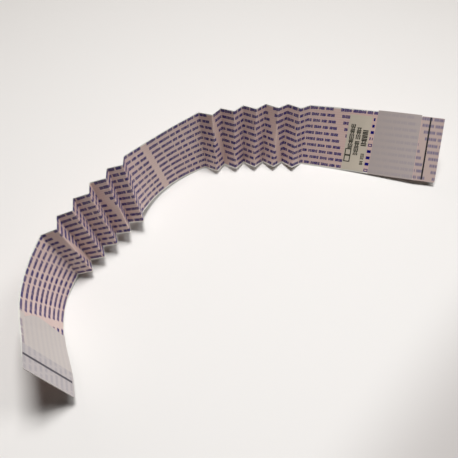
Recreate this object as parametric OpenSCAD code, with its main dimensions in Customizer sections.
// A flat ribbon cable that lies loose on a table, standing on one long edge.
// Two stretches of it are folded back and forth into a fan, and the rest is
// left in the slack curves that the folding gave it.
// The ribbon is two clear films with flat copper conductors laid between them.
// Each end has a stiffened tongue, with its contacts bare on the plain side.
// Lengths are in millimetres, angles in degrees, and +Z is up.
// The origin is on the table, in the middle of the room that the ribbon takes
// up. +X runs along the right fan, and the printed side looks towards -Y.

/* [Ribbon] */
// Width of the ribbon, across its conductors
ribbon_w = 26; // [22:1:32]
// Thickness of each of the two films
film_t = 0.05; // [0.03:0.01:0.1]
// Room that the glue takes between a conductor and a film
glue_t = 0.05; // [0.04:0.01:0.08]
// Room that the glue takes beside the outermost conductors
side_glue = 0.1; // [0.05:0.01:0.15]
// Slope across which the plain film rises to meet the printed film
seal_slope = 0.1; // [0.05:0.01:0.15]

/* [Conductors] */
// Distance from the middle of one conductor to the next
pitch = 1; // [0.8:0.05:1.3]
// Width of one conductor
conductor_w = 0.7; // [0.3:0.05:0.75]
// Thickness of one conductor
conductor_t = 0.1; // [0.05:0.01:0.15]
// Length that the plain film leaves bare at each end
contact_len = 4; // [2:0.5:6]

/* [Stretches] */
// Length of the slack stretch left of the left fan
left_len = 50; // [42:1:70]
// Length of the arched stretch between the fans
middle_len = 37; // [30:1:50]
// Length of the straight stretch right of the right fan
right_len = 55; // [50:1:75]

/* [Fans] */
// Length of ribbon from one crease of a fan to the next
panel_len = 6; // [4:0.5:7]
// Number of panels in the left fan
left_panels = 10; // [6:2:12]
// Number of panels in the right fan
right_panels = 10; // [6:2:12]
// Angle that each panel of the left fan turns out of line
left_fold = 50; // [35:1:60]
// Angle that each panel of the right fan turns out of line
right_fold = 45; // [35:1:60]
// Twist of each panel of the left fan, which spreads its outer edge
left_flare = 2.3; // [0:0.1:4]
// Twist of each panel of the right fan, which spreads its outer edge
right_flare = 1.7; // [0:0.1:4]
// Twist that one panel after another adds along the left fan
left_drift = -0.6; // [-2:0.1:2]
// Twist that one panel after another adds along the right fan
right_drift = -1; // [-2:0.1:2]
// Turn that each valley of the left fan adds to its run
left_curl = 1; // [0:0.1:4]
// Turn that each valley of the right fan adds to its run
right_curl = 2.7; // [0:0.1:4]
// Turn from the left stretch into the left fan
turn_into_left = 15; // [0:0.5:30]
// Turn from the left fan into the middle stretch
turn_out_of_left = -10; // [-20:0.5:20]
// Turn from the middle stretch into the right fan
turn_into_right = 22.5; // [0:0.5:30]
// Turn from the right fan into the right stretch
turn_out_of_right = 4.5; // [-10:0.5:20]

/* [Curves] */
// Bend of the left stretch, from its tongue to its fan
left_bend = [-43, 51, 59, 49]; // [-90:1:90]
// Twist of the left stretch, from its tongue to its fan
left_twist = [5, 13, -7]; // [-45:1:45]
// Bend of the middle stretch, from left to right
middle_bend = [18, 26, 24, 17]; // [-60:1:60]
// Twist of the middle stretch, from left to right
middle_twist = [40, 2, -19]; // [-45:1:45]
// Bend of the right stretch, from its fan to its tongue
right_bend = [7, 2, 1]; // [-60:1:60]
// Twist of the right stretch, from its fan to its tongue
right_twist = [-16, -28]; // [-45:1:45]

/* [Ends] */
// Length of the stiffener under the printed side of each tongue
stiffener_len = 9; // [7:0.5:12]
// Thickness of the stiffener
stiffener_t = 0.1; // [0.05:0.01:0.2]
// Thickness of the white cover tape
tape_t = 0.06; // [0.04:0.01:0.1]
// Length of the right cover tape along the ribbon
right_tape_len = 18; // [12:0.5:20]
// Width of the right cover tape that stands past the outer edge
tape_overhang = 0.4; // [0.1:0.1:1]
// Length of the left cover tape along the ribbon
left_tape_len = 15.1; // [10:0.1:18]
// Length that the rounded corner takes off the left cover tape
left_tape_corner = 4.3; // [1:0.1:5]
// Strip of print that the left cover tape leaves free at the outer edge
left_tape_inset = 2.5; // [1:0.1:4]
// Gap between a stiffener and the cover tape beside it
tape_gap = 0.2; // [0.05:0.05:0.5]

/* [Label] */
// Length of the label along the ribbon
label_len = 9; // [6:0.5:10]
// Thickness of the label
label_t = 0.08; // [0.05:0.01:0.12]
// Strip of print between the right cover tape and the label
label_gap = 2; // [1:0.5:4]
// Strip of print that the label leaves free at the outer edge
label_inset = 2.3; // [1:0.1:4]
// Strip of film that the label leaves free at the inner edge
label_margin = 0.5; // [0.2:0.1:2]

/* [Hidden] */
// Flat facets that stand for the slack curve of each stretch
left_facets = 8;
middle_facets = 9;
right_facets = 6;
// Lanes that each film is divided into across its conductors, so that it
// follows the twist of the ribbon closely
lanes = 9;
// Join of the left stretch where the inner edge stands on the table, as it
// does at both ends of the right fan
left_foot = 6;
// Shortest piece of a facet that is worth drawing
sliver = 0.01;
// Share of the left cover tape, from its inner side, that is cut square
square_share = 0.55;

// Across the ribbon: distances from its middle line, the outer edge positive
edge = ribbon_w / 2;
conductor_count = floor(ribbon_w / pitch + sliver) - 1;
first_conductor = -(conductor_count - 1) / 2 * pitch;
seal_in = -first_conductor + conductor_w / 2 + side_glue;
seal_out = seal_in + seal_slope;
lane_rows = [for (i = [0:lanes]) seal_in * (2 * i / lanes - 1)];
film_rows = concat([-edge, -seal_out], lane_rows, [seal_out, edge]);

// Through the ribbon: heights above its middle plane, the printed side positive
inside_h = conductor_t / 2 + glue_t;
outside_h = inside_h + film_t;

// Along the ribbon: distances from its left end
total_len = left_len + left_panels * panel_len + middle_len
    + right_panels * panel_len + right_len;
left_tape_at = stiffener_len + tape_gap;
right_tape_end = total_len - left_tape_at;
right_tape_at = right_tape_end - right_tape_len;
label_end = right_tape_at - label_gap;

// Value of a list of knots at a share, from 0 to 1, of its length
function knot_value(knots, share) =
    let (last = len(knots) - 1)
    let (low = min(floor(share * last), last - 1))
    knots[low] + (knots[low + 1] - knots[low]) * (share * last - low);

// A bend, shared out over the joins between facets
function bends(knots, joins) =
    [for (i = [0:joins - 1]) knot_value(knots, i / (joins - 1)) / joins];

// A twist, shared out over the facets themselves
function twists(knots, facets) =
    [for (i = [0:facets - 1]) knot_value(knots, (i + 0.5) / facets) / facets];

// A length, shared out over the facets
function lengths(length, facets) = [for (i = [1:facets]) length / facets];

// The facets of one slack stretch, each as [turn before it, length, twist]
function stretch(turns, lengths, twists) =
    [for (i = [0:len(turns) - 1]) [turns[i], lengths[i], twists[i]]];

// The panels of one fan: mountain and valley creases by turns
function fan(panels, turn_in, fold, flare, drift, curl) =
    [for (i = [0:panels - 1])
        let (turn = i == 0 ? turn_in + fold : i % 2 == 1 ? -2 * fold : 2 * fold + curl)
        [turn, panel_len, (i % 2 == 1 ? flare : -flare) + drift]];

// The whole ribbon from its left end to its right end
steps = concat(
    stretch(
        concat([0], bends(left_bend, left_facets)),
        concat([stiffener_len], lengths(left_len - stiffener_len, left_facets)),
        concat([0], twists(left_twist, left_facets))
    ),
    fan(left_panels, turn_into_left, left_fold, left_flare, left_drift, left_curl),
    stretch(
        concat([left_fold + turn_out_of_left], bends(middle_bend, middle_facets - 1)),
        lengths(middle_len, middle_facets),
        twists(middle_twist, middle_facets)
    ),
    fan(right_panels, turn_into_right, right_fold, right_flare, right_drift, right_curl),
    stretch(
        concat([right_fold + turn_out_of_right], bends(right_bend, right_facets)),
        concat(lengths(right_len - stiffener_len, right_facets), [stiffener_len]),
        concat(twists(right_twist, right_facets), [0])
    )
);
right_fan_first = 1 + left_facets + left_panels + middle_facets;
right_fan_last = right_fan_first + right_panels;

// A frame is [place, along the ribbon, across it, out of its printed side]
first_frame = [[0, 0, 0], [1, 0, 0], [0, 1, 0], [0, 0, 1]];

// The frame after a bend about the line across the ribbon
function bent(f, angle) =
    [f[0], f[1] * cos(angle) + f[3] * sin(angle), f[2], f[3] * cos(angle) - f[1] * sin(angle)];

// The frame after a twist about the line along the ribbon
function twisted(f, angle) =
    [f[0], f[1], f[2] * cos(angle) + f[3] * sin(angle), f[3] * cos(angle) - f[2] * sin(angle)];

// The frame after a straight run along the ribbon
function moved(f, length) = [f[0] + f[1] * length, f[1], f[2], f[3]];

// The frame at the far end of a facet, with half of its twist at each end
function passed(f, step) = twisted(moved(twisted(f, step[2] / 2), step[1]), step[2] / 2);

// The frames at the near and far end of each facet, one after another
function walk(f, i) = i == len(steps) ? [] :
    let (near = bent(f, steps[i][0]))
    let (far = passed(near, steps[i]))
    concat([[near, far]], walk(far, i + 1));
facets = walk(first_frame, 0);

// The line on which two offset planes meet, for an offset of one
function mitre(a, b) = (a + b) / (1 + a * b);

// Distance along the ribbon to a join
function reach(i) = i == 0 ? 0 : reach(i - 1) + steps[i - 1][1];

// The joins between facets, each as [distance, place, across, mitred normal]
loose_joins = [for (i = [0:len(facets)])
    let (before = i == 0 ? facets[0][0] : facets[i - 1][1])
    let (after = i == len(facets) ? before : facets[i][0])
    [reach(i), before[0], before[2], mitre(before[3], after[3])]];

// The three feet of the inner edge give the table
function foot(i) = loose_joins[i][1] - edge * loose_joins[i][2];
function unit(v) = v / norm(v);
axis_x = unit(foot(right_fan_last) - foot(right_fan_first));
axis_z = unit(cross(foot(left_foot) - foot(right_fan_first), axis_x));
axis_y = cross(axis_z, axis_x);
function turned(v) = [v * axis_x, v * axis_y, v * axis_z];
level_joins = [for (j = loose_joins) [j[0], turned(j[1]), turned(j[2]), turned(j[3])]];

// A point on a cut across the ribbon
function on_cut(cut, across, height) = cut[1] + across * cut[2] + height * cut[3];

// The joins about the middle of their room, with the lowest corner at no height
corners = [for (j = level_joins, y = [-edge, edge], h = [-outside_h, outside_h]) on_cut(j, y, h)];
low = [for (k = [0:2]) min([for (c = corners) c[k]])];
high = [for (k = [0:2]) max([for (c = corners) c[k]])];
middle = [(low.x + high.x) / 2, (low.y + high.y) / 2, low.z];
joins = [for (j = level_joins) [j[0], j[1] - middle, j[2], j[3]]];

// The cut across the ribbon at any distance along it
function far_join(at, i = 1) = i == len(joins) - 1 || joins[i][0] >= at ? i : far_join(at, i + 1);
function cut(at) =
    let (i = far_join(at))
    let (share = (at - joins[i - 1][0]) / (joins[i][0] - joins[i - 1][0]))
    joins[i - 1] * (1 - share) + joins[i] * share;

// Rows of one layer, each as [distance across, underside, top, far end]
function rows(across, low, high, end) = [for (y = across) [y, low, high, end]];

// The faces of a grid of cuts and rows, with two points to a row
function corner(cut, row, count, side) = 2 * (cut * count + row) + side;
function layer_faces(cuts, count) = concat(
    [for (k = [0:cuts - 2], j = [0:count - 2], side = [0, 1])
        let (a = corner(k, j, count, side), b = corner(k, j + 1, count, side))
        let (c = corner(k + 1, j + 1, count, side), d = corner(k + 1, j, count, side))
        each side == 1 ? [[a, b, c], [a, c, d]] : [[a, c, b], [a, d, c]]],
    [for (k = [0:cuts - 2], j = [0, count - 1])
        let (a = corner(k, j, count, 0), b = corner(k, j, count, 1))
        let (c = corner(k + 1, j, count, 1), d = corner(k + 1, j, count, 0))
        j == 0 ? [a, b, c, d] : [a, d, c, b]],
    [for (j = [0:count - 2], k = [0, cuts - 1])
        let (a = corner(k, j, count, 0), b = corner(k, j, count, 1))
        let (c = corner(k, j + 1, count, 1), d = corner(k, j + 1, count, 0))
        k == 0 ? [d, c, b, a] : [a, b, c, d]]
);

// A thin solid that follows the ribbon from one distance to the end of its rows
module layer(from, rows) {
    nearest_end = min([for (row = rows) row[3]]);
    whole = [for (j = joins) if (j[0] > from + sliver && j[0] < nearest_end - sliver) j[0]];
    cuts = [for (at = concat([from], whole)) [for (row = rows) cut(at)]];
    all_cuts = concat(cuts, [[for (row = rows) cut(row[3])]]);
    points = [for (cut_row = all_cuts, j = [0:len(rows) - 1], side = [1, 2])
        on_cut(cut_row[j], rows[j][0], rows[j][side])];
    polyhedron(points, layer_faces(len(all_cuts), len(rows)), convexity = 10);
}

// The film that carries the print, over the full length
module top_film() {
    color([0.66, 0.58, 0.58])
        layer(0, rows(film_rows, inside_h, outside_h, total_len));
}

// The plain film, which rises at both edges to seal against the printed one
module bottom_film() {
    end = total_len - contact_len;
    seal_rows = function (across) rows(across, -outside_h, inside_h, end);
    color([0.78, 0.73, 0.70])
        layer(contact_len, concat(
            seal_rows([-edge, -seal_out]),
            rows(lane_rows, -outside_h, -inside_h, end),
            seal_rows([seal_out, edge])
        ));
}

// One flat copper conductor, counted from the inner edge
module conductor(number) {
    middle = first_conductor + (number - 1) * pitch;
    sides = [middle - conductor_w / 2, middle + conductor_w / 2];
    color([0.80, 0.76, 0.72])
        layer(0, rows(sides, -conductor_t / 2, conductor_t / 2, total_len));
}

// The stiff strip on the printed side of a tongue, which is the flat facet
// after a join: X along the ribbon, Y across it and Z out of the printed side
module stiffener(join) {
    along = unit(joins[join + 1][1] - joins[join][1]);
    across = joins[join][2];
    out = cross(along, across);
    place = [for (k = [0:2]) [along[k], across[k], out[k], joins[join][1][k]]];
    color([0.86, 0.81, 0.80])
        multmatrix(place)
        translate([0, -edge, outside_h])
        cube([stiffener_len, ribbon_w, stiffener_t]);
}

module stiffener_left() {
    stiffener(0);
}

module stiffener_right() {
    stiffener(len(joins) - 2);
}

// The white tape beside the left tongue, narrower than the ribbon and with its
// far outer corner rounded off
module cover_tape_left() {
    outer_side = edge - left_tape_inset;
    square_to = -edge + square_share * (outer_side + edge);
    across = concat([for (y = film_rows) if (y < outer_side - sliver) y], [outer_side]);
    end = function (y) left_tape_at + left_tape_len
        - left_tape_corner * pow(max(0, (y - square_to) / (outer_side - square_to)), 2);
    color([0.90, 0.86, 0.84])
        layer(left_tape_at, [for (y = across) [y, outside_h, outside_h + tape_t, end(y)]]);
}

// The white tape beside the right tongue, which stands past the outer edge
module cover_tape_right() {
    across = concat(film_rows, [edge + tape_overhang]);
    color([0.90, 0.86, 0.84])
        layer(right_tape_at, rows(across, outside_h, outside_h + tape_t, right_tape_end));
}

// The paper label, beside the right cover tape
module label() {
    inner_side = -edge + label_margin;
    outer_side = edge - label_inset;
    between = [for (y = film_rows) if (y > inner_side + sliver && y < outer_side - sliver) y];
    across = concat([inner_side], between, [outer_side]);
    color([0.86, 0.80, 0.68])
        layer(label_end - label_len, rows(across, outside_h, outside_h + label_t, label_end));
}

function conductor_name(number) = str("conductor_", number < 10 ? "0" : "", number);

top_film();
bottom_film();
for (i = [1:conductor_count]) {
    conductor(i);
}
stiffener_left();
stiffener_right();
cover_tape_left();
cover_tape_right();
label();
